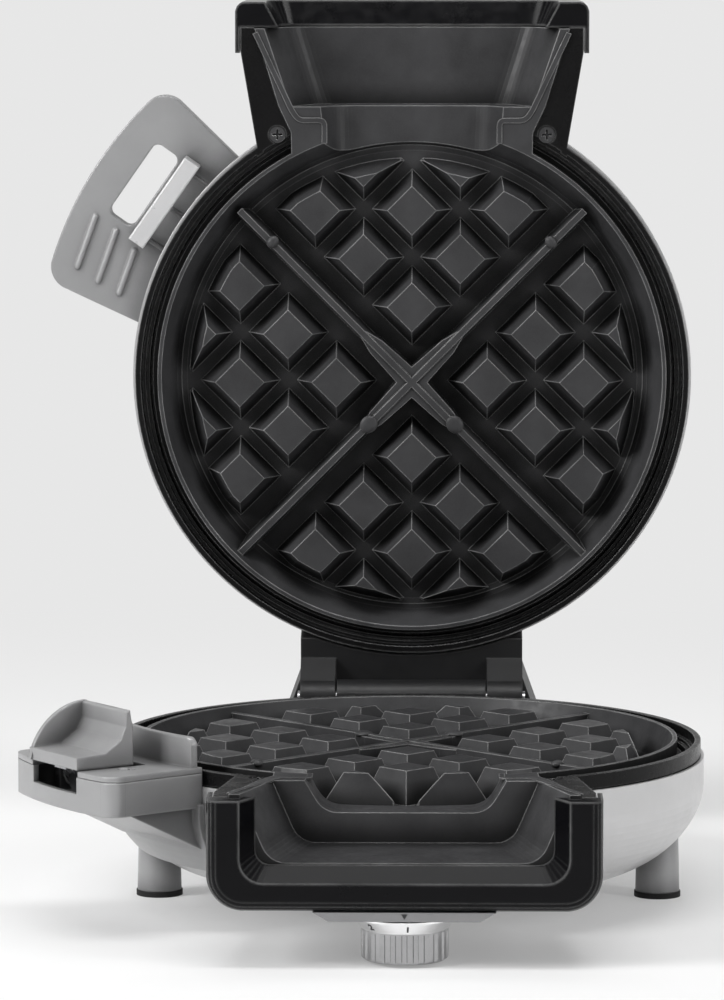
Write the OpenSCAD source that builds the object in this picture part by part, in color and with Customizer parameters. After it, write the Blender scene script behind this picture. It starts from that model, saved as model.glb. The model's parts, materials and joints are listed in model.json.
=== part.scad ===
// Round waffle maker with a pouring spout, shown open. The rear half stands
// upright on a stand and the front half folds down onto two legs.
// Both halves are drawn closed, face to face on the parting plane z = 0, around
// the centre of the plates, with the spout towards -Y and the hinge towards +Y.
// in_frame() sets the front half down, and upright() swings the rear half up.

/* [Cooking plates] */
// Radius of the round cavity at its open edge
cavity_r = 98.9; // [90:0.1:104]
// Radius of the flat floor of the cavity
floor_r = 92.3; // [84:0.1:94]
// Depth of each cavity below the parting plane
cavity_d = 13.5; // [12:0.5:18]
// Height of the pegs that press the pockets
peg_h = 12; // [8:0.5:12]
// Side of a peg at its top
peg_top = 13.8; // [10:0.2:16]
// Side of a peg at its foot
peg_foot = 22.3; // [18:0.1:24]
// Distance from peg to peg
peg_pitch = 27; // [25:0.5:30]
// Distance of the innermost pegs from the cross, along each axis of the grid
peg_start = 21.1; // [19:0.1:24]
// Radius at which the peg tops are cut off
peg_trim_r = 84; // [78:0.5:88]
// Distance of the grid's centre from the plate's centre, towards the hinge
grid_shift = 2; // [0:0.5:4]
// Width of the dividing ridges at their top
ridge_w = 2.6; // [1.5:0.1:5]
// Thickness of the cast plates
plate_t = 4; // [2.5:0.5:6]
// Width of the flat rim round the cavity
plate_rim_w = 1.6; // [1:0.1:3]

/* [Housing] */
// Outer radius of the plastic rims
rim_r = 109.3; // [106:0.1:112]
// Height of the plastic rims
rim_h = 5.4; // [4:0.1:8]
// Width of the lip on the rims
rim_lip_w = 2.2; // [1.5:0.1:4]
// Depth of the groove between the lip and the plate
groove_d = 5; // [3:0.5:7]
// How far the lip lies below the parting plane
lip_drop = 0.8; // [0.4:0.1:2]
// Outer radius of the metal covers
cover_r = 110.5; // [108:0.1:114]
// Depth of the covers below the parting plane
cover_d = 49; // [45:0.5:56]
// Depth at which the side of a cover starts to curve in
cover_wall_d = 17; // [12:1:24]
// Radius of the flat of a cover
cover_flat_r = 74; // [60:1:84]
// Thickness of the sheet metal
cover_t = 1.2; // [0.8:0.1:2]
// Gap between the two halves when they are closed
seal_gap = 0.6; // [0.4:0.1:1.5]

/* [Spout] */
// Distance of the spout's mouth from the plates' centre
mouth_y = 148; // [140:1:160]
// Half of the outer width of the collar
collar_half_w = 69.5; // [64:0.5:74]
// Depth of the collar below the parting plane
collar_d = 40.2; // [36:0.1:44]
// Half of the width of the collar's opening, at its front
mouth_half_w = 58.1; // [54:0.1:60]
// Depth of the collar's opening, at its front
mouth_d = 30.3; // [26:0.1:33]
// Length of the collar along the spout
collar_len = 10; // [8:0.5:14]
// Length of the collar's side tabs
tab_len = 20; // [14:1:26]
// Outer corner radius of the collar
collar_corner_r = 13; // [8:0.5:18]
// Half of the spout housing's width where it leaves the rim
neck_half_w = 61; // [58:0.5:64]
// Wall of the spout housing
spout_wall = 2.5; // [2:0.1:4]
// Half of the funnel's width at its mouth, at the parting plane
funnel_half_w = 58.5; // [52:0.5:60]
// Half of the funnel's width at the bottom of its mouth
funnel_floor_half_w = 51; // [44:0.5:52]
// Depth of the funnel at its mouth
funnel_d = 24.5; // [18:0.5:27]
// Half of the throat's width at the parting plane
throat_half_w = 34; // [28:0.5:38]
// Half of the flat width of the throat's floor
throat_floor_half_w = 25; // [18:0.5:28]
// Depth of the throat
throat_d = 11.5; // [8:0.5:13]
// Thickness of the funnel's casting
funnel_t = 3; // [2:0.5:4]

/* [Hinge and stand] */
// Distance of the hinge pin from the plates' centre
hinge_y = 127; // [124:0.5:140]
// Distance of the hinge pin below the parting plane
hinge_drop = 5; // [2:0.5:7]
// Diameter of the hinge pin
pin_d = 6; // [4:0.5:8]
// Running clearance round the pin, on the radius
pin_clear = 0.05; // [0.03:0.01:0.1]
// Outer diameter of the hinge knuckles
knuckle_d = 15; // [12:0.5:18]
// Overall width of the hinge
hinge_w = 88; // [70:1:100]
// Width of each outer knuckle
cheek_w = 14; // [8:1:20]
// Height of the parting plane above the table
table_h = 61; // [60.5:0.5:70]
// Half of the stand's width on the table
stand_half_w = 78; // [60:1:90]
// Distance of the stand's back edge behind the plates' centre
stand_back_y = 208; // [195:1:225]
// Distance of the stand's front edge behind the plates' centre
stand_front_y = 100; // [95:1:115]
// Height of the rubber feet
pad_h = 2; // [1.5:0.5:4]

/* [Legs] */
// Distance of each leg from the middle
leg_x = 93.5; // [88:0.5:98]
// Distance of the legs in front of the plates' centre
leg_y = -2; // [-10:1:40]
// Diameter of the legs at their foot
leg_d = 16.6; // [12:0.2:20]

/* [Latch] */
// Direction of the latch, seen from above
latch_angle = 215; // [205:1:225]
// Outer radius of the latch housing and the loop
latch_r = 150.5; // [146:0.5:156]
// Reach of the latch housing on its hinge side
latch_left = 47; // [40:1:52]
// Reach of the latch housing on its spout side
latch_right = 28.8; // [22:0.2:34]
// Depth of the latch housing below the parting plane
latch_d = 14; // [12:0.5:18]
// Wall of the latch housing
latch_wall = 2.2; // [1.6:0.1:3]
// Width of the lever along the rim
lever_w = 33; // [26:1:36]
// Height of the lever above the parting plane
lever_h = 21; // [16:0.5:22]
// Distance of the lever's pin from the plates' centre
lever_pin_r = 132.3; // [131:0.1:135]
// Turn that takes the lever's hook over the strike bar
latch_turn = 8; // [4:1:8]

/* [Loop handle] */
// Thickness of the loop
loop_t = 12; // [8:0.5:16]
// Height of the loop's face behind the parting plane
loop_z = 23.5; // [23:0.5:26]
// Reach of the loop on its hinge side
loop_left = 54.9; // [46:0.1:60]
// Reach of the loop on its spout side
loop_right = 37.6; // [32:0.1:42]
// Corner radius of the loop
loop_corner_r = 9.5; // [5:0.5:12]
// Length of the slot in the loop
slot_len = 34; // [28:1:40]
// Width of the slot in the loop
slot_w = 11.6; // [8:0.2:14]
// Length of the strike bar
bar_len = 39; // [34:1:44]
// Width of the strike bar
bar_w = 7; // [4:0.5:8]

/* [Dial] */
// Distance of the dial's axis from the plates' centre
knob_y = 128; // [120:1:132]
// Diameter of the dial's grip
knob_d = 31; // [26:0.5:34]
// Diameter of the dial's skirt
skirt_d = 37; // [33:0.5:42]
// Height of the dial
knob_h = 15.8; // [11:0.2:16]
// Number of flutes round the grip
flutes = 24; // [16:1:36]
// Half of the panel's width against the spout
panel_half_w = 32.2; // [24:0.1:36]
// Thickness of the panel
panel_t = 3.3; // [2:0.1:4]

/* [Hidden] */
$fn = 64;

fit = 0.2;             // clearance between curved faces that seat together
far = 400;             // longer than anything that it cuts
eps = 0.01;
rim_bottom = -lip_drop - rim_h;
groove_z = -lip_drop - groove_d;
plate_rim_r = cavity_r + plate_rim_w;
plate_bottom = -cavity_d - plate_t;
mouth_back = mouth_y - collar_len;
spout_half_w = collar_half_w - 2.2;      // width of the housing under the tabs
shelf_z = -9;                            // shelf of the rim that carries the plate
rear_shift = seal_gap;                   // the rear half closes this far above z = 0
open_turn = 90;

// centre of the arc that rounds a corner between a circle and a side with a slope
function sector_corner(r, side, corner, slope) =
    let (w = norm([1, slope]), b = side - r * slope - corner * w,
        x = (sqrt(pow(slope * b, 2) - w * w * (b * b - pow(r - corner, 2))) - slope * b) / (w * w))
    [x, slope * x + b];

// the object's box, from which the origin is set at the middle of its underside
loop_slopes = [0.175, 0.165];
loop_far_corner = sector_corner(latch_r, loop_left, loop_corner_r, loop_slopes[0]);
box_left = cos(latch_angle) * loop_far_corner[0] + sin(latch_angle) * loop_far_corner[1]
    - loop_corner_r;
box_right = cover_r;
box_front = -mouth_y;
box_back = stand_back_y;
frame_x = -(box_left + box_right) / 2;
frame_y = -(box_front + box_back) / 2;

module in_frame() translate([frame_x, frame_y, table_h]) children();

// the rear half: mirrored on the parting plane, then swung up about the hinge
module upright() in_frame() translate([0, hinge_y, -hinge_drop]) rotate([-open_turn, 0, 0])
    translate([0, -hinge_y, hinge_drop]) children();
module rear_half() upright() translate([0, 0, rear_shift]) mirror([0, 0, 1]) children();

// local frame of the latch: x outwards from the plates' centre, y along the rim
module at_latch() rotate([0, 0, latch_angle]) children();

// ---------------------------------------------------------------- shared shapes

// outline of the dome from its open edge to its flat, as radius and height
function dome_curve(grow = 0, steps = 18) = [for (i = [0 : steps])
    let (a = 90 * i / steps)
    [cover_flat_r + (cover_r + grow - cover_flat_r) * pow(cos(a), 1.1),
     -cover_wall_d - (cover_d + grow - cover_wall_d) * pow(sin(a), 1.1)]];

module dome_solid(grow = 0, top = 0) rotate_extrude($fn = 96)
    polygon(concat([[0, top], [cover_r + grow, top]], dome_curve(grow), [[0, -cover_d - grow]]));

module dome_shell(top) difference() {
    dome_solid(0, top);
    dome_solid(-cover_t, top + 1);
}

// outline of a spout housing seen from above, with its sides moved in by inset
module spout_plan(inset = 0, back = 85) polygon([
    [-neck_half_w + inset, -back], [-neck_half_w + inset, -91],
    [-spout_half_w + inset, -mouth_y + tab_len], [-spout_half_w + inset, -mouth_back],
    [spout_half_w - inset, -mouth_back], [spout_half_w - inset, -mouth_y + tab_len],
    [neck_half_w - inset, -91], [neck_half_w - inset, -back]]);

// outline of the funnel's casting seen from above
module funnel_plan(grow = 0, front = mouth_back - 0.4) {
    w = funnel_half_w + 3.4 + grow;
    polygon([[-47.2 - grow, -80], [-47.6 - grow, -96.8], [-52.4 - grow, -107],
        [-w, -mouth_back + 0.4], [-w, -front], [w, -front], [w, -mouth_back + 0.4],
        [52.4 + grow, -107], [47.6 + grow, -96.8], [47.2 + grow, -80]]);
}

// a bowl section seen from the front: flat floor, round corners and sloping sides
module bowl_section(top_w, floor_w, depth, corner, steps = 6) {
    cx = floor_w - corner;
    cy = corner - depth;
    rise = sqrt(pow(top_w - cx, 2) + cy * cy);
    start = atan2(-cy, top_w - cx) - acos(corner / rise);
    side = [for (i = [0 : steps]) let (a = start - (start + 90) * i / steps)
        [cx + corner * cos(a), cy + corner * sin(a)]];
    polygon(concat([[-top_w, 1], [top_w, 1], [top_w, 0]], side,
        [for (i = [0 : steps]) [-side[steps - i][0], side[steps - i][1]]], [[-top_w, 0]]));
}

module section_at(y) translate([0, -y, 0]) rotate([90, 0, 0]) linear_extrude(eps) children();

module funnel_hollow(grow = 0) {
    hull() {
        section_at(mouth_back + 1) bowl_section(funnel_half_w + grow,
            funnel_floor_half_w + grow, funnel_d + grow, 9);
        section_at(107 - grow) bowl_section(47.6 + grow, 41 + grow, funnel_d - 2 + grow, 9);
    }
    hull() {
        section_at(108) bowl_section(throat_half_w + grow + 2, throat_floor_half_w + 8 + grow,
            throat_d + grow, 9);
        section_at(86) bowl_section(throat_half_w + grow, throat_floor_half_w + 7 + grow,
            throat_d + grow, 9);
    }
}

// collar outline seen from the front: a U with round lower corners
module collar_section(inset = 0) {
    w = collar_half_w - inset;
    corner_x = collar_half_w - collar_corner_r;
    corner_y = -collar_d + collar_corner_r;
    translate([-w, corner_y]) square([2 * w, -corner_y - lip_drop]);
    translate([-corner_x, -collar_d + inset]) square([2 * corner_x, collar_corner_r]);
    for (s = [-1, 1]) translate([s * corner_x, corner_y]) circle(r = collar_corner_r - inset,
        $fn = 48);
}

// ---------------------------------------------------------------- parts of a half

module half_rim() {
    lip_in = rim_r - rim_lip_w;
    difference() {
        union() {
            rotate_extrude($fn = 96) polygon([
                [rim_r, -lip_drop], [rim_r, rim_bottom], [rim_r - 1.4, rim_bottom],
                [rim_r - 1.4, -13], [rim_r - 3.6, -13], [rim_r - 3.6, -11.5],
                [plate_rim_r + 0.5, -11.5], [plate_rim_r + 0.5, shelf_z],
                [plate_rim_r + 3, shelf_z], [plate_rim_r + 3.4, groove_z],
                [lip_in - 2, groove_z], [lip_in - 1.8, groove_z + 1.4],
                [lip_in - 0.4, groove_z + 1.4], [lip_in, -lip_drop]]);
            // spout housing, open in front, that starts from the cover
            difference() {
                translate([0, 0, -collar_d]) linear_extrude(collar_d - lip_drop)
                    spout_plan();
                translate([0, -1, -collar_d + spout_wall]) linear_extrude(far)
                    spout_plan(spout_wall);
                dome_solid(fit, rim_bottom);
                translate([0, 0, -10]) cylinder(h = 20, r = rim_r - 3, $fn = 96);
            }
            // flange between the funnel and the outer edge of the housing
            translate([0, 0, -lip_drop - 3]) linear_extrude(3) difference() {
                spout_plan();
                circle(r = rim_r - 1, $fn = 96);
            }
        }
        // way for the funnel through the rim
        translate([0, 0, -funnel_d - 8]) linear_extrude(far) funnel_plan(0.2, mouth_y);
        // the lower corners of the housing follow the collar
        difference() {
            translate([-far / 2, -mouth_y, -collar_d - 1]) cube([far, mouth_y - 92, 30]);
            translate([0, -80, 0]) rotate([90, 0, 0]) linear_extrude(far) collar_section();
        }
        for (s = [-1, 1]) translate([s * 53, -96, -12]) cylinder(h = 20, r = 1.6, $fn = 24);
        for (s = [-1, 1]) translate([s * 53, -96, -lip_drop - 1.6])
            cylinder(h = 4, r = 3.5, $fn = 32);
    }
}

// a trapezoid channel along x, open at the top
module channel(y, foot_w, top_w) translate([-far / 2, y, -cavity_d]) rotate([90, 0, 90])
    linear_extrude(far) polygon([[-foot_w / 2, 0], [foot_w / 2, 0],
        [top_w / 2, peg_h + eps], [top_w / 2, peg_h + 9], [-top_w / 2, peg_h + 9],
        [-top_w / 2, peg_h + eps]]);

module peg_field() {
    slope = (peg_foot - peg_top) / 2;
    foot_gap = peg_pitch - peg_foot;
    top_gap = peg_pitch - peg_top;
    centre_foot = 2 * peg_start - peg_foot;
    difference() {
        translate([0, 0, -cavity_d - eps]) cylinder(h = peg_h + eps, r1 = peg_trim_r + slope,
            r2 = peg_trim_r, $fn = 96);
        for (turn = [0, 90]) rotate([0, 0, turn]) {
            channel(0, centre_foot, centre_foot + 2 * slope);
            for (side = [-1, 1], k = [0 : 2])
                channel(side * (peg_start + peg_pitch * (k + 0.5)), foot_gap, top_gap);
        }
    }
}

// the four dividing ridges and the hub where they meet
module dividers() {
    top = -2.2;
    for (turn = [0, 90, 180, 270]) rotate([0, 0, turn]) {
        translate([0, 0, -cavity_d - eps]) rotate([90, 0, 90]) linear_extrude(floor_r + 6)
            polygon([[-ridge_w, 0], [ridge_w, 0], [ridge_w / 2, top + cavity_d],
                [-ridge_w / 2, top + cavity_d]]);
        translate([0, 0, -cavity_d - eps]) linear_extrude(cavity_d + top - 0.6)
            polygon([[0, -4.6], [20, -3.4], [27, -1.6], [27, 1.6], [20, 3.4], [0, 4.6]]);
    }
}

module half_grid_plate() {
    difference() {
        union() {
            difference() {
                union() {
                    rotate_extrude($fn = 96) polygon([
                        [0, plate_bottom], [floor_r - 1, plate_bottom],
                        [cavity_r - 0.5, shelf_z - 1.5], [plate_rim_r, shelf_z + 0.1],
                        [plate_rim_r + 2.2, shelf_z + 0.1], [plate_rim_r + 2.2, shelf_z + 1.8],
                        [plate_rim_r, shelf_z + 1.8], [plate_rim_r, 0], [0, 0]]);
                    // funnel casting and its flange
                    intersection() {
                        funnel_hollow(funnel_t);
                        translate([-far / 2, -mouth_back + 0.4, -far]) cube([far, 60, far]);
                    }
                    translate([0, 0, -3]) linear_extrude(3) difference() {
                        funnel_plan();
                        circle(r = cavity_r, $fn = 96);
                    }
                }
                // dish of the cavity, with a fillet at its floor
                rotate_extrude($fn = 96) polygon([
                    [0, -cavity_d], [floor_r - 3, -cavity_d],
                    [floor_r - 0.8, -cavity_d + 0.6], [floor_r + 0.9, -cavity_d + 2.6],
                    [cavity_r, 0], [cavity_r, 1], [0, 1]]);
                funnel_hollow();
            }
            translate([0, grid_shift, 0]) rotate([0, 0, 45]) {
                peg_field();
                intersection() {
                    dividers();
                    translate([0, 0, -cavity_d - 1]) cylinder(h = cavity_d,
                        r1 = floor_r + 1, r2 = cavity_r - grid_shift - 0.4, $fn = 96);
                }
            }
        }
        translate([-far / 2, -far / 2, 0]) cube(far);
    }
}

module half_collar() difference() {
    edge = 3.6;
    union() {
        translate([0, -mouth_back, 0]) rotate([90, 0, 0]) linear_extrude(collar_len - edge)
            collar_section();
        // outer edge of the front face, rounded in steps
        for (step = [[edge + eps, 0, 1.7, 0.7], [1.7, 0.7, 0.6, 1.8], [0.6, 1.8, 0, 3.4]]) hull() {
            section_at(mouth_y - step[0]) collar_section(step[1]);
            section_at(mouth_y - step[2] - eps) collar_section(step[3]);
        }
        // side tabs that lie on the spout housing
        intersection() {
            translate([0, -mouth_y + tab_len, 0]) rotate([90, 0, 0])
                linear_extrude(tab_len - edge) collar_section();
            for (s = [-1, 1]) translate([s * (collar_half_w - 0.9), -mouth_y + tab_len / 2, 0])
                cube([1.8, tab_len, far], center = true);
        }
    }
    // bevelled mouth
    hull() {
        section_at(mouth_y + 0.5) bowl_section(mouth_half_w, mouth_half_w, mouth_d, 8.5);
        section_at(mouth_back - 0.5) bowl_section(mouth_half_w - 6, mouth_half_w - 6, funnel_d, 5);
    }
}

module half_heater() {
    tube_r = 3.3;
    ring_r = 62;
    height = plate_bottom - tube_r - 0.3;
    translate([0, 0, height]) {
        rotate([0, 0, -60]) rotate_extrude(angle = 300, $fn = 96) translate([ring_r, 0])
            circle(r = tube_r, $fn = 24);
        for (s = [-1, 1]) rotate([0, 0, 90 + s * 30]) {
            translate([ring_r, 0, 0]) sphere(r = tube_r, $fn = 24);
            translate([ring_r, 0, -9]) cylinder(h = 9, r = 2.2, $fn = 24);
        }
    }
}

// pan that throws the heat back at the plate
module half_reflector() difference() {
    pan_t = 0.8;
    pan_r = cavity_r - 0.5;
    pan_d = -32;
    rotate_extrude($fn = 96) polygon([
        [pan_r + 5.5, -11.7], [pan_r + 5.5, -11.7 - pan_t], [pan_r + pan_t, -11.7 - pan_t],
        [pan_r + pan_t - 3, pan_d], [0, pan_d], [0, pan_d + pan_t],
        [pan_r - 3.2, pan_d + pan_t], [pan_r, -11.7]]);
    translate([0, 0, -funnel_d]) linear_extrude(far) funnel_plan(0.6);
}

module half_rim_screws() for (s = [-1, 1]) translate([s * 53, -96, 0]) {
    translate([0, 0, -lip_drop - 1.5]) difference() {
        cylinder(h = 1.2, r = 3.3, $fn = 32);
        for (turn = [0, 90]) rotate([0, 0, turn]) translate([-2, -0.4, 0.5]) cube([4, 0.8, 2]);
    }
    translate([0, 0, -11]) cylinder(h = 11 - lip_drop - 1.4, r = 1.5, $fn = 24);
}

// ---------------------------------------------------------------- front half

module front_cover() color("gainsboro") in_frame() difference() {
    dome_shell(rim_bottom - 0.4);
    spout_cut();
    for (s = [-1, 1]) translate([s * leg_x, -leg_y, -far / 2]) cylinder(h = far, r = 2.1,
        $fn = 24);
}

// notch in a cover for the funnel that passes through it
module spout_cut() translate([0, 0, -funnel_d - funnel_t - 1]) linear_extrude(far)
    spout_plan(spout_wall + 1, 90);

module front_rim() color([0.09, 0.09, 0.1]) in_frame() difference() {
    half_rim();
    translate([0, -knob_y, -collar_d - 1]) cylinder(h = 20, r = 3.3);
}
module front_grid_plate() color([0.16, 0.16, 0.17]) in_frame() half_grid_plate();
module front_collar() color([0.05, 0.05, 0.06]) in_frame() half_collar();
module front_heater() color("dimgray") in_frame() half_heater();
module front_reflector() color("lightgray") in_frame() half_reflector();
module front_rim_screws() color([0.25, 0.25, 0.26]) in_frame() half_rim_screws();

// silver panel under the spout that carries the dial
module control_panel() color("silver") in_frame() difference() {
    top = -collar_d - fit;
    side = (panel_half_w - 5.6) / panel_half_w;
    translate([0, -84, top]) rotate([90, 0, 0]) linear_extrude(mouth_y - 1.5 - 84)
        polygon([[-panel_half_w, 0], [panel_half_w, 0], [panel_half_w * side, -panel_t],
            [-panel_half_w * side, -panel_t]]);
    dome_solid(fit, 1);
    translate([0, -knob_y, -far / 2]) cylinder(h = far, r = 3.4);
    for (s = [-1, 1]) translate([s * 11, -lamp_y, -far / 2]) cylinder(h = far, r = lamp_r + 0.1);
}

lamp_y = 104;
lamp_r = 2.5;
module indicator_lenses() color("darkred") in_frame() for (s = [-1, 1])
    translate([s * 11, -lamp_y, -collar_d - fit - panel_t - 0.8]) cylinder(h = panel_t + 0.7,
        r = lamp_r);

thermostat_h = 9;
module thermostat() color("tan") in_frame() difference() {
    translate([-13, -knob_y - 9, -collar_d + spout_wall + 0.1]) cube([26, 22, thermostat_h]);
    translate([0, -knob_y, -collar_d]) cylinder(h = 8, r = 3.05);
}

shaft_r = 2.95;
dial_top = -collar_d - fit - panel_t - 0.4;
module dial_shaft() color("lightsteelblue") in_frame()
    translate([0, -knob_y, dial_top - knob_h + 4]) cylinder(h = knob_h + 7.4, r = shaft_r);

module control_dial() color("silver") in_frame() translate([0, -knob_y, dial_top - knob_h])
    difference() {
        skirt_h = 4.6;
        union() {
            translate([0, 0, 1]) cylinder(h = knob_h - skirt_h - 1, r = knob_d / 2);
            cylinder(h = 1, r1 = knob_d / 2 - 1, r2 = knob_d / 2);
            translate([0, 0, knob_h - skirt_h]) cylinder(h = skirt_h - 0.8, r1 = knob_d / 2,
                r2 = skirt_d / 2);
            translate([0, 0, knob_h - 0.8]) cylinder(h = 0.8, r = skirt_d / 2);
        }
        for (i = [0 : flutes - 1]) rotate([0, 0, 360 * i / flutes])
            translate([knob_d / 2 + 0.5, 0, -1]) cylinder(h = knob_h - skirt_h + 0.4, r = 1.2,
                $fn = 16);
        translate([0, 0, 4 - eps]) cylinder(h = far, r = shaft_r + 0.05);
    }

module leg(side) color("darkgray") in_frame() difference() {
    translate([side * leg_x, -leg_y, -table_h + pad_h]) cylinder(h = 36, r1 = leg_d / 2,
        r2 = leg_d / 2 - 0.9);
    dome_solid(0.1, 1);
    translate([side * leg_x, -leg_y, -table_h]) cylinder(h = pad_h + 1.5, r = 3);
}
module left_leg() leg(-1);
module right_leg() leg(1);

module leg_pads() color([0.12, 0.12, 0.12]) in_frame() for (s = [-1, 1])
    translate([s * leg_x, -leg_y, -table_h]) {
        cylinder(h = pad_h, r = leg_d / 2 + 0.4);
        translate([0, 0, pad_h - eps]) cylinder(h = 1.3, r = 2.9);
    }

// centre knuckle of the hinge, on an arm from the front half
module front_hinge_arm() color([0.1, 0.1, 0.11]) in_frame() difference() {
    half_w = hinge_w / 2 - cheek_w - 0.6;
    union() {
        translate([-half_w, hinge_y, -hinge_drop]) rotate([0, 90, 0])
            cylinder(h = 2 * half_w, r = knuckle_d / 2);
        translate([-half_w, 90, -hinge_drop - 6]) cube([2 * half_w, hinge_y - 90, 9]);
    }
    dome_solid(fit, 5);
    translate([-far / 2, hinge_y, -hinge_drop]) rotate([0, 90, 0])
        cylinder(h = far, r = pin_d / 2 + pin_clear);
}

// ---------------------------------------------------------------- latch

latch_top_z = -lip_drop + 1.5;
seam_z = latch_top_z - 2.2;
lever_y = -8;                 // middle of the lever along the rim
lever_pin_z = -6.6;

// sector out to radius r between two sides that open by a slope each, with round outer corners
module sector_plan(r, left, right, corner, slopes, inset = 0) {
    wl = norm([1, slopes[0]]);
    wr = norm([1, slopes[1]]);
    for (step = [[r - inset, corner], [r - corner, inset]]) intersection() {
        circle(r = step[0], $fn = 128);
        polygon([[60, (r - 60) * slopes[0] - left + step[1] * wl],
            [r + 5, -5 * slopes[0] - left + step[1] * wl],
            [r + 5, 5 * slopes[1] + right - step[1] * wr],
            [60, (60 - r) * slopes[1] + right - step[1] * wr]]);
    }
    for (side = [[-1, left, slopes[0]], [1, right, slopes[1]]]) {
        c = sector_corner(r, side[1], corner, side[2]);
        translate([c[0], side[0] * c[1]]) circle(r = corner - inset, $fn = 48);
    }
}
module latch_plan(inset = 0)
    sector_plan(latch_r, latch_left, latch_right, 6, [0.1, 0.075], inset);

module latch_housing() color("darkgray") in_frame() difference() {
    union() {
        at_latch() difference() {
            union() {
                translate([0, 0, -latch_d]) linear_extrude(latch_d + seam_z) latch_plan();
                // slanting underside that runs back to the cover
                translate([0, latch_right - 5, 0]) rotate([90, 0, 0])
                    linear_extrude(latch_left + latch_right - 12) polygon([[80, -latch_d + 2],
                        [latch_r - 12, -latch_d + 2], [latch_r - 12, -latch_d],
                        [101, -latch_d - 18.6], [80, -latch_d - 18.6]]);
            }
            difference() {
                translate([0, 0, -latch_d + latch_wall]) linear_extrude(far)
                    latch_plan(latch_wall);
                for (y = [lever_y - lever_w / 2 - 5.5, lever_y + lever_w / 2 + 1.5])
                    translate([lever_pin_r - 4, y, -far / 2]) cube([8, 4, far / 2 - 3.2]);
            }
            // slot under the lever's lip
            translate([latch_r - 14, lever_y - lever_w / 2, seam_z - 6])
                cube([40, lever_w, 20]);
            translate([lever_pin_r, lever_y - lever_w / 2 - 6, lever_pin_z]) rotate([-90, 0, 0])
                cylinder(h = lever_w + 12, r = 1.55, $fn = 32);
        }
        // skin over the flank of the cover
        intersection() {
            dome_solid(2.6, -12);
            at_latch() translate([60, -latch_left - 6, -39]) cube([80,
                latch_left + latch_right + 4, 39 - latch_d + 1.3]);
        }
    }
    dome_solid(0.15, 5);
}

module latch_top() color("darkgray") in_frame() at_latch() difference() {
    union() {
        translate([0, 0, seam_z + fit]) linear_extrude(latch_top_z - seam_z - fit) latch_plan();
        // curved shield between the latch and the hot plates
        translate([0, 0, latch_top_z - 1]) linear_extrude(12) intersection() {
            difference() {
                circle(r = 114.6, $fn = 128);
                circle(r = 112.2, $fn = 128);
            }
            translate([100, -24]) square([20, 20.2 + latch_right]);
        }
    }
    translate([0, 0, -far / 2]) cylinder(h = far, r = cover_r + fit);
    translate([lever_pin_r - 11, lever_y - lever_w / 2 - 0.8, -far / 2])
        cube([far, lever_w + 1.6, far / 2 + 5]);
    translate([lever_pin_r - 1, lever_y + lever_w / 2 + 6, latch_top_z + 1.2])
        sphere(r = 2.4, $fn = 32);
    // round end of the shield
    translate([100, latch_right - 6.8, latch_top_z + 8]) difference() {
        cube([20, 4, 4]);
        translate([-1, -0.3, -0.3]) rotate([0, 90, 0]) cylinder(h = 22, r = 3.4, $fn = 32);
    }
}

module latch_lever() color("lightgray") in_frame() at_latch() {
    lip_x = latch_r - 0.5;
    foot_z = latch_top_z + 0.3;
    wall_x = lever_pin_r - 6;
    difference() {
        union() {
            // foot, back wall and hook, seen along the rim
            translate([0, lever_y + lever_w / 2, 0]) rotate([90, 0, 0]) linear_extrude(lever_w)
                polygon([[wall_x, foot_z], [lip_x, foot_z], [lip_x, foot_z + 4.4],
                    [lip_x - 12, foot_z + 5], [wall_x + 5, foot_z + 9.5],
                    [wall_x + 2.8, lever_h - 6], [wall_x + 2.6, lever_h - 0.6],
                    [wall_x + 1.2, lever_h], [wall_x + 0.8, lever_h - 3], [wall_x, 15]]);
            translate([0, lever_y + 8, 0]) rotate([90, 0, 0]) linear_extrude(15)
                polygon([[wall_x + 1, 16.2], [wall_x - 2.8, 16.8], [wall_x - 2.8, 18],
                    [wall_x + 1.4, lever_h]]);
            // round cheek that closes the scoop on the hinge side
            intersection() {
                translate([wall_x, lever_y - lever_w / 2, lever_h - 25]) rotate([-90, 0, 0])
                    cylinder(h = 2, r = 25, $fn = 96);
                translate([wall_x + 0.5, lever_y - lever_w / 2 - 1, foot_z])
                    cube([40, 4, 40]);
            }
            // stem down to the pin
            translate([lever_pin_r - 5, lever_y - lever_w / 2 + 1, lever_pin_z])
                cube([9, lever_w - 2, foot_z - lever_pin_z + 1]);
            translate([lever_pin_r, lever_y - lever_w / 2 + 1, lever_pin_z]) rotate([-90, 0, 0])
                cylinder(h = lever_w - 2, r = 3.6);
        }
        translate([lever_pin_r, -far / 2, lever_pin_z]) rotate([-90, 0, 0])
            cylinder(h = far, r = 1.5 + pin_clear, $fn = 32);
    }
}

module latch_pin() color("silver") in_frame() at_latch()
    translate([lever_pin_r, lever_y - lever_w / 2 - 5, lever_pin_z]) rotate([-90, 0, 0])
        cylinder(h = lever_w + 10, r = 1.5, $fn = 32);

module latch_spring() color("lightsteelblue") in_frame() at_latch()
    translate([0, lever_y + 4, -latch_d + latch_wall + 0.05]) rotate([90, 0, 0])
        linear_extrude(8) polygon([[124, 0], [138.6, 0], [144.4, 11.2], [147, 11.2], [147, 11.9],
            [144, 11.9], [138.1, 0.7], [124, 0.7]]);

// ---------------------------------------------------------------- rear half

module rear_cover() color("gainsboro") rear_half() difference() {
    dome_shell(rim_bottom - 0.4);
    spout_cut();
}

module rear_rim() color([0.09, 0.09, 0.1]) rear_half() half_rim();
module rear_grid_plate() color([0.16, 0.16, 0.17]) rear_half() half_grid_plate();
module rear_collar() color([0.05, 0.05, 0.06]) rear_half() half_collar();
module rear_heater() color("dimgray") rear_half() half_heater();
module rear_reflector() color("lightgray") rear_half() half_reflector();
module rear_rim_screws() color([0.25, 0.25, 0.26]) rear_half() half_rim_screws();

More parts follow.
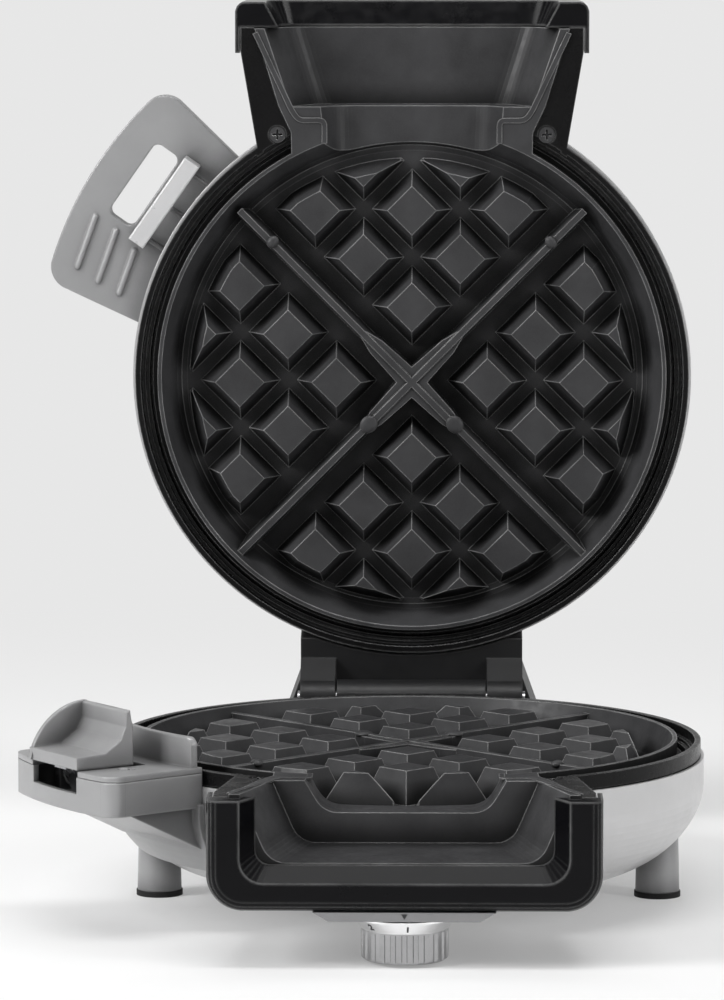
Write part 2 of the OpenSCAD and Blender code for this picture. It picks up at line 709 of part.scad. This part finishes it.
module thermal_fuse() color("silver") rear_half() {
    translate([0, 0, plate_bottom - 5.2]) cylinder(h = 5, r = 8);
    translate([0, 0, plate_bottom - 7]) cylinder(h = 2, r = 5);
}

slot_x = 124.6;
module loop_handle() color("darkgray") upright() difference() {
    at_latch() {
        difference() {
            translate([0, 0, loop_z]) linear_extrude(loop_t)
                sector_plan(latch_r, loop_left, loop_right, loop_corner_r, loop_slopes);
            translate([slot_x + 3, -slot_len / 2 + 3, -far / 2]) linear_extrude(far) {
                translate([0, -3]) square([slot_w - 6, slot_len]);
                translate([-3, 0]) square([slot_w, slot_len - 6]);
                for (x = [0, slot_w - 6], y = [0, slot_len - 6]) translate([x, y])
                    circle(r = 3, $fn = 32);
            }
        }
        // grip ribs on the face of the loop
        for (rib = [[139, -21.5, 21], [129, -21.5, 21], [118.6, -23.6, 18]])
            translate([rib[0], rib[1], loop_z]) rotate([90, 0, -15]) {
                cylinder(h = rib[2], r = 1.3, $fn = 32);
                sphere(r = 1.3, $fn = 32);
                translate([0, 0, rib[2]]) sphere(r = 1.3, $fn = 32);
            }
        // ribs between the strike bar and the cover
        for (y = [-16.3, -1, 14.5]) translate([100, y - 0.8, 17])
            cube([slot_x - 1.4 - bar_w - 100, 1.6, loop_z - 17 + 1]);
    }
    translate([0, 0, rear_shift]) mirror([0, 0, 1]) dome_solid(0.15, 5);
    linear_extrude(far) spout_plan(-0.3, 80);
}

module strike_bar() color("whitesmoke") upright() at_latch() {
    x = slot_x - 1.4 - bar_w;
    translate([x, -bar_len / 2, 6]) cube([bar_w, bar_len, 8]);
    for (y = [-bar_len / 2, bar_len / 2 - 3.5]) translate([x, y, 6])
        cube([bar_w, 3.5, loop_z - 6]);
}

// ---------------------------------------------------------------- stand

rear_centre_z = hinge_y - hinge_drop;
rear_plane_y = hinge_y + hinge_drop + rear_shift;
stand_floor_z = -table_h + pad_h;
foot_top_z = stand_floor_z + 12;

// room that the stand leaves for the rear half
module rear_half_solid(grow) translate([0, hinge_y, -hinge_drop]) rotate([-90, 0, 0])
    translate([0, -hinge_y, hinge_drop + rear_shift]) mirror([0, 0, 1]) dome_solid(grow, 0);

module side_profile(half_w, points) translate([-half_w, 0, 0]) rotate([90, 0, 90])
    linear_extrude(2 * half_w) polygon(points);

module foot_plan(grow = 0) hull() for (s = [-1, 1]) {
    translate([s * (stand_half_w - 16), stand_back_y - 16]) circle(r = 16 + grow, $fn = 48);
    translate([s * (stand_half_w - 12), stand_front_y + 16]) circle(r = 12 + grow, $fn = 48);
}

module stand() color([0.1, 0.1, 0.11]) in_frame() difference() {
    back = stand_back_y - 8;
    union() {
        translate([0, 0, stand_floor_z]) linear_extrude(7) foot_plan();
        hull() {
            translate([0, 0, stand_floor_z + 6.9]) linear_extrude(0.1) foot_plan();
            translate([0, 0, foot_top_z]) linear_extrude(0.1) foot_plan(-5);
        }
        side_profile(hinge_w / 2, [[hinge_y + 8.5, foot_top_z - 1], [hinge_y + 8.5, -16],
            [hinge_y + 7.4, 18], [152, 22], [186, 44], [192, 44], [back - 4, 4],
            [back, foot_top_z - 1]]);
        translate([0, back, 0]) rotate([90, 0, 0]) linear_extrude(back - hinge_y - 14)
            polygon([[-hinge_w / 2, 2], [-62, foot_top_z - 1], [62, foot_top_z - 1],
                [hinge_w / 2, 2]]);
        // cheeks that hold the hinge pin
        for (s = [-1, 1]) translate([s * (hinge_w - cheek_w) / 2, 0, 0])
            side_profile(cheek_w / 2, [[hinge_y - 3, -hinge_drop - 6.9], [hinge_y + 10, -30],
                [hinge_y + 10, 12], [hinge_y - 2, -hinge_drop + 7.2]]);
        for (s = [-1, 1]) translate([s * (hinge_w - cheek_w) / 2, hinge_y, -hinge_drop])
            rotate([0, 90, 0]) cylinder(h = cheek_w, r = knuckle_d / 2, center = true);
    }
    rear_half_solid(fit);
    translate([0, 0, rear_centre_z]) rotate([90, 0, 0]) translate([0, 0, -rear_plane_y - 30])
        cylinder(h = 60, r = cover_r + fit, $fn = 96);
    translate([-far / 2, hinge_y, -hinge_drop]) rotate([0, 90, 0])
        cylinder(h = far, r = pin_d / 2 + 0.02);
    // wiring space, open at the bottom
    translate([-36, 148, -table_h]) cube([72, 40, 46]);
    translate([-40, 144, stand_floor_z - 1]) cube([80, 48, 3.4]);
    // way out for the mains lead
    translate([0, 170, gland_z]) rotate([-90, 0, 0]) cylinder(h = 60, r = gland_r + 0.1);
}

module stand_base() color([0.13, 0.13, 0.14]) in_frame() difference() {
    translate([-39.8, 144.2, stand_floor_z + 0.2]) cube([79.6, 47.6, 2.1]);
    for (x = [-37, 37], y = [147, 189]) translate([x, y, -table_h]) cylinder(h = 10, r = 1.7,
        $fn = 24);
}

module stand_screws() color("silver") in_frame() for (x = [-37, 37], y = [147, 189])
    translate([x, y, stand_floor_z + 0.2]) cylinder(h = 2.1, r = 1.5, $fn = 24);

module stand_pads() color([0.12, 0.12, 0.12]) in_frame() for (s = [-1, 1])
    for (y = [stand_front_y + 14, stand_back_y - 16]) translate([s * (stand_half_w - 15), y,
        -table_h]) cylinder(h = pad_h, r = 8);

module hinge_pin() color("silver") in_frame() translate([-hinge_w / 2 - 1, hinge_y, -hinge_drop])
    rotate([0, 90, 0]) cylinder(h = hinge_w + 2, r = pin_d / 2);

module terminal_block() color("ivory") in_frame() difference() {
    translate([-14, 156, stand_floor_z + 2.35]) cube([28, 14, 12]);
    for (x = [-9, 0, 9]) translate([x, 163, stand_floor_z + 6]) cylinder(h = 20, r = 2.2,
        $fn = 24);
}

gland_z = -37;
gland_r = 5.9;
module cord_gland() color([0.12, 0.12, 0.12]) in_frame() translate([0, 0, gland_z])
    rotate([-90, 0, 0]) difference() {
        back = stand_back_y - 8;
        union() {
            translate([0, 0, back - 12]) cylinder(h = 13, r = gland_r);
            translate([0, 0, back + 0.1]) cylinder(h = 3, r = gland_r + 3.1);
        }
        cylinder(h = far, r = 3.6);
    }

// ---------------------------------------------------------------- drawing

front_cover();
front_rim();
front_grid_plate();
front_collar();
front_heater();
front_reflector();
front_rim_screws();
control_panel();
indicator_lenses();
thermostat();
dial_shaft();
control_dial();
left_leg();
right_leg();
leg_pads();
front_hinge_arm();
latch_housing();
latch_top();
latch_lever();
latch_pin();
latch_spring();
rear_cover();
rear_rim();
rear_grid_plate();
rear_collar();
rear_heater();
rear_reflector();
rear_rim_screws();
thermal_fuse();
loop_handle();
strike_bar();
stand();
stand_base();
stand_pads();
stand_screws();
hinge_pin();
terminal_block();
cord_gland();
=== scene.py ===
import math

import bmesh
import bpy
from mathutils import Matrix, Vector
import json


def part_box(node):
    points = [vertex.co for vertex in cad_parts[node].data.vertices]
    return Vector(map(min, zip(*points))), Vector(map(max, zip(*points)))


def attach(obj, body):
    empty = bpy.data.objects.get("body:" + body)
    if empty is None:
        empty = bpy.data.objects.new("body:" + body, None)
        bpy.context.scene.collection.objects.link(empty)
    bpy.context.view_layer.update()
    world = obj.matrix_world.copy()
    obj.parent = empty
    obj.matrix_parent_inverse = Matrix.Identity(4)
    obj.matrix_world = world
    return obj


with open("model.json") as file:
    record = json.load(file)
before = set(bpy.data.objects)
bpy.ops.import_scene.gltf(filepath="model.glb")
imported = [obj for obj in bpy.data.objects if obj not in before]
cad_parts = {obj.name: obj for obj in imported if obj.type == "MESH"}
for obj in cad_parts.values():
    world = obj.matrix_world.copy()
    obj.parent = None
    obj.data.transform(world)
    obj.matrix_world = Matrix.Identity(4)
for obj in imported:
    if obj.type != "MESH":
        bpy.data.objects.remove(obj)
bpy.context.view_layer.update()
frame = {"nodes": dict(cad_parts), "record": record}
MM = 0.001
scene = bpy.context.scene
scene.view_settings.view_transform = "Standard"

# ------------------------------------------------------------------ camera
CAMERA_AT = (0.036225, -2.158587, 0.389184)
CAMERA_DOWN = 0.11215       # radians below the horizon
CAMERA_LEFT = 0.0173        # radians from straight ahead
SENSOR = 36.0
LENS = 206.93

cam = bpy.data.objects.new("view_camera", bpy.data.cameras.new("view_camera"))
scene.collection.objects.link(cam)
cam.location = CAMERA_AT
cam.rotation_euler = (math.pi / 2 - CAMERA_DOWN, 0.0, CAMERA_LEFT)
cam.data.sensor_fit = "VERTICAL"
cam.data.sensor_width = cam.data.sensor_height = SENSOR
cam.data.lens = LENS
cam.data.clip_start, cam.data.clip_end = 0.05, 200.0
scene.camera = cam


# ------------------------------------------------------------------ materials
def rgb(v):
    """A colour for a socket, from one grey value or from three values."""
    c = (v, v, v) if isinstance(v, (int, float)) else tuple(v)
    return (c[0], c[1], c[2], 1.0)


class Net:
    """A new material and the nodes that are wired into it."""

    def __init__(self, name):
        self.mat = bpy.data.materials.new(name)
        self.mat.use_nodes = True
        self.tree = self.mat.node_tree
        self.tree.nodes.clear()
        self.bsdf = self.add("ShaderNodeBsdfPrincipled")
        self.out = self.add("ShaderNodeOutputMaterial")
        self.link(self.bsdf.outputs[0], self.out.inputs[0])
        self.coord = self.add("ShaderNodeTexCoord").outputs["Object"]

    def add(self, kind, **props):
        node = self.tree.nodes.new(kind)
        for key, value in props.items():
            setattr(node, key, value)
        return node

    def link(self, source, socket):
        self.tree.links.new(source, socket)

    def put(self, socket, value):
        """Wire another node's output into a socket, or set a constant on it."""
        if hasattr(value, "is_output"):
            self.link(value, socket)
        else:
            socket.default_value = value

    def noise(self, scale, detail, rough, vec=None):
        n = self.add("ShaderNodeTexNoise")
        self.link(self.coord if vec is None else vec, n.inputs["Vector"])
        n.inputs["Scale"].default_value = scale
        n.inputs["Detail"].default_value = detail
        n.inputs["Roughness"].default_value = rough
        return n.outputs["Fac"]

    def stretch(self, scale):
        n = self.add("ShaderNodeMapping")
        self.link(self.coord, n.inputs["Vector"])
        n.inputs["Scale"].default_value = scale
        return n.outputs["Vector"]

    def ramp(self, fac, lo, hi, to_lo=0.0, to_hi=1.0):
        n = self.add("ShaderNodeMapRange")
        self.put(n.inputs["Value"], fac)
        n.inputs["From Min"].default_value = lo
        n.inputs["From Max"].default_value = hi
        n.inputs["To Min"].default_value = to_lo
        n.inputs["To Max"].default_value = to_hi
        return n.outputs["Result"]

    def math(self, op, a, b, clamp=False):
        n = self.add("ShaderNodeMath", operation=op, use_clamp=clamp)
        self.put(n.inputs[0], a)
        self.put(n.inputs[1], b)
        return n.outputs[0]

    def mix(self, fac, a, b):
        n = self.add("ShaderNodeMix", data_type="RGBA")
        self.put(n.inputs["Factor"], fac)
        self.put(n.inputs["A"], a)
        self.put(n.inputs["B"], b)
        return n.outputs["Result"]

    def bevel(self, radius):
        n = self.add("ShaderNodeBevel", samples=4)
        n.inputs["Radius"].default_value = radius
        return n.outputs[0]

    def edge(self, bevelled):
        """How far a rounded edge turns from its flat face: 0 on a face, 1 on an edge."""
        geo = self.add("ShaderNodeNewGeometry")
        n = self.add("ShaderNodeVectorMath", operation="DOT_PRODUCT")
        self.link(bevelled, n.inputs[0])
        self.link(geo.outputs["Normal"], n.inputs[1])
        return self.ramp(n.outputs["Value"], 1.0, 0.9)

    def open_sky(self, reach):
        """How little stands round a point within the reach: 0 in a crevice, 1 in the open."""
        n = self.add("ShaderNodeAmbientOcclusion", samples=4)
        n.inputs["Distance"].default_value = reach
        return n.outputs["AO"]

    def bump(self, height, strength, distance, normal):
        n = self.add("ShaderNodeBump")
        n.inputs["Strength"].default_value = strength
        n.inputs["Distance"].default_value = distance
        self.link(height, n.inputs["Height"])
        self.link(normal, n.inputs["Normal"])
        return n.outputs[0]


CLOUD_SCALE = 70.0          # patches of colour per metre
SMEAR_SCALE = 210.0         # patches of roughness per metre
GRAIN_SHARE = 0.35          # how much of the fine grain shows in the colour
CREVICE_REACH = 10 * MM
CREVICE_SHADE_COLOUR = 0.08       # painted shade: share of the base colour that is left in a crevice
CREVICE_ROUGH = 0.3         # added to the roughness there
CORNER_REACH = 1.2 * MM     # an inner corner has something this near, and gets no painted highlight or wear
BUMP_STRENGTH = 0.55


def finish_of(name, base, rough, metal=0.0, vary=0.08, grain=2200.0, depth=0.02,
              edge_r=0.4, edge=0.0, wear_and_highlight_col=0.2, crevice_shade=0.0, coat=0.0, coat_rough=0.1,
              spec=0.5, rough_vary=0.06, brush=None, edge_rough=None, band=None):
    """A moulded, cast or painted surface: cloudy colour, fine grain, edges lightened by a
    painted highlight that also stands for wear, and painted shade in its crevices.

    grain is points per metre, depth and edge_r are mm, brush is a scale for each axis
    of a brushed metal, and band is a height, a soft width and a painted highlight colour above
    it.
    """
    n = Net(name)
    cloud = n.noise(CLOUD_SCALE, detail=4.0, rough=0.55)
    if brush is None:
        fine = n.noise(grain, detail=2.0, rough=0.6)
    else:
        fine = n.noise(1.0, detail=3.0, rough=0.6, vec=n.stretch(brush))
    dark = rgb([c * (1 - vary) for c in base])
    light = rgb([min(1.0, c * (1 + vary)) for c in base])
    col = n.mix(n.ramp(cloud, 0.3, 0.7), dark, light)
    col = n.mix(n.ramp(fine, 0.35, 0.65, 0.0, GRAIN_SHARE), col, light)
    smooth = n.bevel(edge_r * MM)
    rim = n.edge(smooth)
    painted_shade_mask = None
    # painted shade: the colour darkens where ambient occlusion finds things near, in crevices,
    # pockets and seams
    if crevice_shade:
        painted_shade_mask = n.ramp(n.open_sky(CREVICE_REACH), 0.58, 0.98, crevice_shade, 0.0)
        col = n.mix(painted_shade_mask, col, rgb([c * CREVICE_SHADE_COLOUR for c in base]))
    # painted highlight: convex edges out in the open are lightened, which also stands for wear
    if edge:
        rim = n.math("MULTIPLY", rim, n.ramp(n.open_sky(CORNER_REACH), 0.55, 0.8))
        wear_and_highlight = n.math("MULTIPLY", rim, n.ramp(cloud, 0.3, 0.6, 0.5, 1.0))
        col = n.mix(n.math("MULTIPLY", wear_and_highlight, edge), col, rgb(wear_and_highlight_col))
    # painted highlight: a brighter colour above the band's height
    if band:
        height, soft, colour = band
        split = n.add("ShaderNodeSeparateXYZ")
        n.link(n.coord, split.inputs[0])
        col = n.mix(n.ramp(split.outputs["Z"], height, height + soft), col, rgb(colour))
    n.link(col, n.bsdf.inputs["Base Color"])
    r = n.ramp(n.noise(SMEAR_SCALE, detail=3.0, rough=0.6), 0.3, 0.7,
               rough - rough_vary, rough + rough_vary)
    if painted_shade_mask is not None:
        r = n.math("ADD", r, n.math("MULTIPLY", painted_shade_mask, CREVICE_ROUGH), clamp=True)
    if edge_rough is not None:
        r = n.math("SUBTRACT", r, n.math("MULTIPLY", rim, rough - edge_rough), clamp=True)
    n.link(r, n.bsdf.inputs["Roughness"])
    n.bsdf.inputs["Metallic"].default_value = metal
    n.bsdf.inputs["Specular IOR Level"].default_value = spec
    if coat:
        n.bsdf.inputs["Coat Weight"].default_value = coat
        n.bsdf.inputs["Coat Roughness"].default_value = coat_rough
    n.link(n.bump(fine, BUMP_STRENGTH, depth * MM, smooth), n.bsdf.inputs["Normal"])
    return n.mat


# painted highlight: the dial's numbered cone is painted a brighter ring than its body below,
# for the light on its upturned face
dial_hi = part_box("control_dial")[1]
DIAL_LIT_BAND = (dial_hi.z - 4.75 * MM, 0.2 * MM, (0.93, 0.93, 0.935))

# the finish of each material slot of the record
MATS = {
    "cover_metal": finish_of(
        "cover_silver", (0.60, 0.598, 0.602), 0.34, metal=0.6, vary=0.02, grain=3800,
        depth=0.005, edge_r=0.5, coat=0.25, coat_rough=0.25),
    "rim_plastic": finish_of(
        "rim_black", (0.0045, 0.0044, 0.0046), 0.28, vary=0.15, grain=2600, depth=0.005,
        edge_r=0.6, edge=1.0, wear_and_highlight_col=0.16, spec=0.15, edge_rough=0.16),
    "plate_coating": finish_of(
        "nonstick", (0.036, 0.036, 0.0375), 0.4, vary=0.25, grain=1500, depth=0.04,
        edge_r=0.6, edge=1.0, wear_and_highlight_col=0.34, spec=0.25, rough_vary=0.09, crevice_shade=1.0,
        edge_rough=0.26),
    "collar_plastic": finish_of(
        "collar_black", (0.003, 0.003, 0.0036), 0.11, vary=0.15, grain=1200, depth=0.004,
        edge_r=1.5, spec=0.11, rough_vary=0.03, edge=0.9, wear_and_highlight_col=0.17),
    "heater_steel": finish_of(
        "heater_sheath", (0.30, 0.29, 0.27), 0.5, metal=0.9, vary=0.2),
    "reflector_metal": finish_of(
        "reflector", (0.66, 0.66, 0.66), 0.35, metal=1.0, vary=0.06, brush=(900, 60, 900)),
    "screw_steel": finish_of(
        "screw_black", (0.10, 0.10, 0.103), 0.25, metal=1.0, vary=0.2, edge_r=0.3,
        edge=1.0, wear_and_highlight_col=0.5, crevice_shade=1.0),
    "panel_silver": finish_of(
        "panel_silver", (0.26, 0.26, 0.265), 0.33, metal=0.35, vary=0.04, grain=3800,
        depth=0.006, edge_r=0.35, edge=0.5, wear_and_highlight_col=0.6),
    "lens_red": finish_of(
        "lens_red", (0.33, 0.014, 0.012), 0.12, vary=0.1, coat=0.6),
    "thermostat_body": finish_of(
        "ceramic", (0.53, 0.45, 0.32), 0.6, vary=0.1),
    "dial_silver": finish_of(
        "dial_silver", (0.40, 0.40, 0.405), 0.2, metal=0.95, vary=0.04,
        brush=(2600, 2600, 180), depth=0.005, edge_r=0.3, band=DIAL_LIT_BAND),
    "grey_plastic": finish_of(
        "grey_satin", (0.33, 0.33, 0.334), 0.36, metal=0.35, vary=0.04, grain=2600,
        depth=0.005, edge_r=1.1, edge=0.3, wear_and_highlight_col=0.6, coat=0.1, coat_rough=0.25,
        rough_vary=0.03, crevice_shade=0.6),
    "foot_rubber": finish_of(
        "foot_rubber", (0.012, 0.012, 0.012), 0.7, vary=0.2, grain=900, depth=0.03,
        spec=0.3),
    "stand_plastic": finish_of(
        "stand_black", (0.009, 0.009, 0.0095), 0.45, vary=0.2, grain=1300, depth=0.05,
        edge=0.4, wear_and_highlight_col=0.06, edge_r=0.9, spec=0.4),
    "pin_steel": finish_of(
        "pin_steel", (0.55, 0.55, 0.56), 0.28, metal=1.0, vary=0.06,
        brush=(60, 1800, 1800)),
    "spring_steel": finish_of(
        "spring_steel", (0.45, 0.45, 0.47), 0.25, metal=1.0),
    "fuse_metal": finish_of(
        "fuse_metal", (0.65, 0.65, 0.65), 0.3, metal=1.0),
    "strike_plastic": finish_of(
        "strike_light", (0.56, 0.56, 0.565), 0.32, metal=0.2, vary=0.035, grain=2600,
        depth=0.012, edge_r=1.4, edge=0.4, wear_and_highlight_col=0.85, coat=0.2, coat_rough=0.2),
    "block_plastic": finish_of(
        "block", (0.70, 0.66, 0.55), 0.5, vary=0.08),
    "gland_rubber": finish_of(
        "gland_rubber", (0.014, 0.014, 0.014), 0.62, vary=0.2, grain=1100, depth=0.03,
        spec=0.3),
}
MARK = finish_of("mark_ink", (0.02, 0.02, 0.022), 0.45, vary=0.1, edge_r=0.02)

slot_of = {s["node"]: s["material_slot"] for s in frame["record"]["subparts"]}
for name, obj in frame["nodes"].items():
    obj.data.materials.clear()
    obj.data.materials.append(MATS[slot_of[name]])


# ------------------------------------------------------------------ pieces
def mesh_of(bm, name):
    mesh = bpy.data.meshes.new(name)
    bm.to_mesh(mesh)
    bm.free()
    return mesh


def closed_mesh(bm, name):
    """The mesh of a closed form, with its faces turned outwards."""
    bmesh.ops.recalc_face_normals(bm, faces=bm.faces)
    return mesh_of(bm, name)


def skin(bm, rings):
    """Faces along rings of vertices, with a flat face on each end."""
    for near, far in zip(rings, rings[1:]):
        for i in range(len(near)):
            j = (i + 1) % len(near)
            bm.faces.new((near[i], near[j], far[j], far[i]))
    bm.faces.new(rings[0][::-1])
    bm.faces.new(rings[-1])


def piece(name, mesh, body, slot, mat):
    obj = bpy.data.objects.new(name, mesh)
    scene.collection.objects.link(obj)
    mesh.materials.clear()
    mesh.materials.append(mat)
    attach(obj, body)


def text_mesh(text, size, depth, bold):
    curve = bpy.data.curves.new("num", "FONT")
    curve.body = text
    curve.align_x, curve.align_y = "CENTER", "CENTER"
    curve.size = size
    curve.extrude = depth
    curve.offset = bold
    tmp = bpy.data.objects.new("num", curve)
    scene.collection.objects.link(tmp)
    mesh = bpy.data.meshes.new_from_object(tmp.evaluated_get(
        bpy.context.evaluated_depsgraph_get()))
    bpy.data.objects.remove(tmp)
    bpy.data.curves.remove(curve)
    return mesh


def dial_numbers():
    """The numbers on the dial's cone, each lying flat on the slope."""
    count, first_deg, step_deg = 6, -86, -48
    size, thick, bold = 3.7 * MM, 0.05 * MM, 0.148 * MM
    cone_h, cone_dr = 3.8 * MM, 3.0 * MM
    down = 0.52             # how far down the cone the numbers' middles lie, as a share
    lo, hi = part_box("control_dial")
    axis = Vector(((lo.x + hi.x) / 2, (lo.y + hi.y) / 2, 0))
    radius = (hi.x - lo.x) / 2 - cone_dr * down
    height = hi.z - 0.8 * MM - cone_h * down
    slope = Vector((cone_h, 0, -cone_dr)).normalized()
    bm = bmesh.new()
    for i in range(count):
        mesh = text_mesh(str(i + 1), size, thick, bold)
        turn = math.radians(first_deg + step_deg * i)
        out = Vector((math.cos(turn), math.sin(turn), 0))
        normal = (out * slope.x + Vector((0, 0, slope.z))).normalized()
        right = Vector((0, 0, 1)).cross(out)
        place = Matrix((right, normal.cross(right), normal)).transposed().to_4x4()
        place.translation = axis + out * radius + Vector((0, 0, height))
        mesh.transform(place)
        bm.from_mesh(mesh)
        bpy.data.meshes.remove(mesh)
    return mesh_of(bm, "dial_numbers")


def dial_pointer():
    """A triangle on the panel's front edge that points at the dial's number."""
    corners = ((-1.15, -0.55), (1.15, -0.55), (0.0, -2.5))
    proud, sunk = 0.06 * MM, 0.2 * MM
    lo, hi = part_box("control_panel")
    mid_x = (lo.x + hi.x) / 2
    bm = bmesh.new()
    rings = [[bm.verts.new((mid_x + x * MM, y, hi.z + z * MM)) for x, z in corners]
             for y in (lo.y - proud, lo.y + sunk)]
    skin(bm, rings)
    return closed_mesh(bm, "dial_pointer")


piece("dial_numbers", dial_numbers(), "browning_dial", "rim_plastic", MARK)
piece("dial_pointer", dial_pointer(), "front_half", "rim_plastic", MARK)

# the middle of the lowered plate, the middle height of the upright one, and their faces
lo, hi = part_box("front_cover")
mid_x, mid_y = (lo.x + hi.x) / 2, hi.y - (hi.x - lo.x) / 2
face_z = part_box("front_grid_plate")[1].z
face_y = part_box("rear_grid_plate")[0].y
lo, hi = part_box("rear_cover")
mid_z = lo.z + (hi.x - lo.x) / 2


def on_half(half, across, along, height):
    """A point over a plate: across, along towards the spout and above the face, in mm."""
    if half == "front":
        return Vector((mid_x + across * MM, mid_y - along * MM, face_z + height * MM))
    return Vector((mid_x + across * MM, face_y - height * MM, mid_z + along * MM))


# one boss of each mirrored pair on the dividers, in mm and degrees: middle across and
# along, half length, half width, middle above the face, half height and turn
BOSSES = (
    (54.9, 53.6, 2.7, 2.16, -2.4, 1.5, -45),
    (17.0, -18.7, 3.3, 3.795, -2.5, 1.3, 45),
)


def divider_bosses(half):
    bm = bmesh.new()
    for side in (-1, 1):
        for across, along, length, width, middle, tall, turn in BOSSES:
            cos, sin = math.cos(math.radians(side * turn)), math.sin(math.radians(side * turn))
            ball = bmesh.ops.create_uvsphere(bm, u_segments=28, v_segments=16, radius=1.0)
            for v in ball["verts"]:
                a, b, c = v.co.x * length, v.co.y * width, v.co.z * tall
                v.co = on_half(half, side * across + a * cos - b * sin,
                               along + a * sin + b * cos, middle + c)
    for f in bm.faces:
        f.smooth = True
    return closed_mesh(bm, half + "_divider_bosses")


def bend(points, radius, steps=8):
    """A line through the points with its corners rounded."""
    out = [points[0]]
    for a, b, c in zip(points, points[1:], points[2:]):
        a, b, c = Vector(a), Vector(b), Vector(c)
        p, q = b + (a - b).normalized() * radius, b + (c - b).normalized() * radius
        for i in range(steps + 1):
            t = i / steps
            out.append(tuple((p * (1 - t) ** 2) + b * (2 * t * (1 - t)) + q * t * t))
    out.append(points[-1])
    return out


def spout_edge(half):
    """The raised edge that runs from the mouth round each corner into the throat."""
    path = bend([(-61.6, 136.0), (-47.3, 105.5), (-44.5, 101.6), (-34.4, 101.6),
                 (-34.4, 92.5)], radius=2.3)
    width, high, deep = 2.2, 0.22, 0.5
    bm = bmesh.new()
    for side in (-1, 1):
        rings = []
        for i, point in enumerate(path):
            before = Vector(path[max(i - 1, 0)])
            after = Vector(path[min(i + 1, len(path) - 1)])
            along = after - before
            out = Vector((-along.y, along.x)).normalized() * width / 2
            near, far = Vector(point) - out, Vector(point) + out
            rings.append([bm.verts.new(on_half(half, side * p.x, p.y, h)) for p, h in
                          ((near, -deep), (near, high), (far, high), (far, -deep))])
        skin(bm, rings)
    return closed_mesh(bm, half + "_spout_edge")


def latch_button():
    """The small domed button on the latch's top plate."""
    across, along, plate_above = -101.5, 87.5, 0.7
    profile = ((0.9, 0.56), (1.7, 0.46), (2.15, 0.22), (2.3, -0.3))
    turns = 32
    bm = bmesh.new()
    rings = []
    for radius, height in profile:
        ring = []
        for i in range(turns):
            turn = 2 * math.pi * i / turns
            ring.append(bm.verts.new(on_half(
                "front", across + radius * math.cos(turn), along + radius * math.sin(turn),
                plate_above + height)))
        rings.append(ring)
    skin(bm, rings)
    for f in bm.faces:
        f.smooth = len(f.verts) == 4
    return closed_mesh(bm, "latch_button")


COATED = ("plate_coating", MATS["plate_coating"])
for half, body in (("front", "front_half"), ("rear", "rear_half_on_stand")):
    piece(half + "_divider_bosses", divider_bosses(half), body, *COATED)
    piece(half + "_spout_edge", spout_edge(half), body, *COATED)
piece("latch_button", latch_button(), "front_half", "grey_plastic", MATS["grey_plastic"])


# ------------------------------------------------------------------ stage
def stage_floor():
    """A pale floor that fades into an even glow, which diffuse rays don't meet."""
    half_size = 60.0
    fade_from, fade_to = 0.16, 0.8
    bm = bmesh.new()
    bmesh.ops.create_grid(bm, x_segments=1, y_segments=1, size=half_size)
    mesh = mesh_of(bm, "floor")
    obj = bpy.data.objects.new("floor", mesh)
    scene.collection.objects.link(obj)
    n = Net("floor")
    n.bsdf.inputs["Base Color"].default_value = rgb(0.88)
    n.bsdf.inputs["Roughness"].default_value = 0.6
    n.bsdf.inputs["Specular IOR Level"].default_value = 0.15
    away = n.add("ShaderNodeVectorMath", operation="LENGTH")
    n.link(n.coord, away.inputs[0])
    share = n.ramp(away.outputs["Value"], fade_from, fade_to, 0.3, 1.0)
    rays = n.add("ShaderNodeLightPath")
    seen = n.math("MAXIMUM", rays.outputs["Is Camera Ray"],
                  n.math("MAXIMUM", rays.outputs["Is Glossy Ray"],
                         rays.outputs["Is Transmission Ray"]))
    glow = n.add("ShaderNodeEmission")
    glow.inputs["Color"].default_value = rgb(0.80)
    both = n.add("ShaderNodeMixShader")
    n.link(n.math("MULTIPLY", share, seen), both.inputs[0])
    n.link(n.bsdf.outputs[0], both.inputs[1])
    n.link(glow.outputs[0], both.inputs[2])
    n.link(both.outputs[0], n.out.inputs[0])
    mesh.materials.append(n.mat)


def studio_world():
    """A studio that is dim on the camera's side and brighter behind the object."""
    world = bpy.data.worlds.new("studio")
    scene.world = world
    world.use_nodes = True
    tree = world.node_tree
    tree.nodes.clear()
    coord = tree.nodes.new("ShaderNodeTexCoord")
    split = tree.nodes.new("ShaderNodeSeparateXYZ")
    tree.links.new(coord.outputs["Generated"], split.inputs[0])
    ramp = tree.nodes.new("ShaderNodeMapRange")
    for key, value in (("From Min", -0.7), ("From Max", 0.5), ("To Min", 0.13),
                       ("To Max", 0.62)):
        ramp.inputs[key].default_value = value
    tree.links.new(split.outputs["Y"], ramp.inputs["Value"])
    sky = tree.nodes.new("ShaderNodeBackground")
    tree.links.new(ramp.outputs["Result"], sky.inputs["Color"])
    sky.inputs["Strength"].default_value = 0.8
    out = tree.nodes.new("ShaderNodeOutputWorld")
    tree.links.new(sky.outputs[0], out.inputs[0])


def softbox(name, at, aim, size, power):
    light = bpy.data.lights.new(name, "AREA")
    light.shape = "RECTANGLE"
    light.size, light.size_y = size
    light.energy = power
    obj = bpy.data.objects.new(name, light)
    scene.collection.objects.link(obj)
    obj.location = at
    obj.rotation_euler = (Vector(aim) - Vector(at)).to_track_quat("-Z", "Y").to_euler()


stage_floor()
studio_world()
softbox("key", at=(-1.9, -1.0, 1.35), aim=(0, 0, 0.12), size=(0.9, 1.1), power=47)
softbox("fill", at=(1.8, -1.2, 0.9), aim=(0, 0, 0.12), size=(0.4, 1.4), power=14)
softbox("back", at=(0.0, 0.65, 1.6), aim=(0, 0, 0.1), size=(1.4, 0.5), power=4)
softbox("top", at=(0.0, -0.52, 1.6), aim=(0, 0, 0.1), size=(1.3, 0.35), power=13)
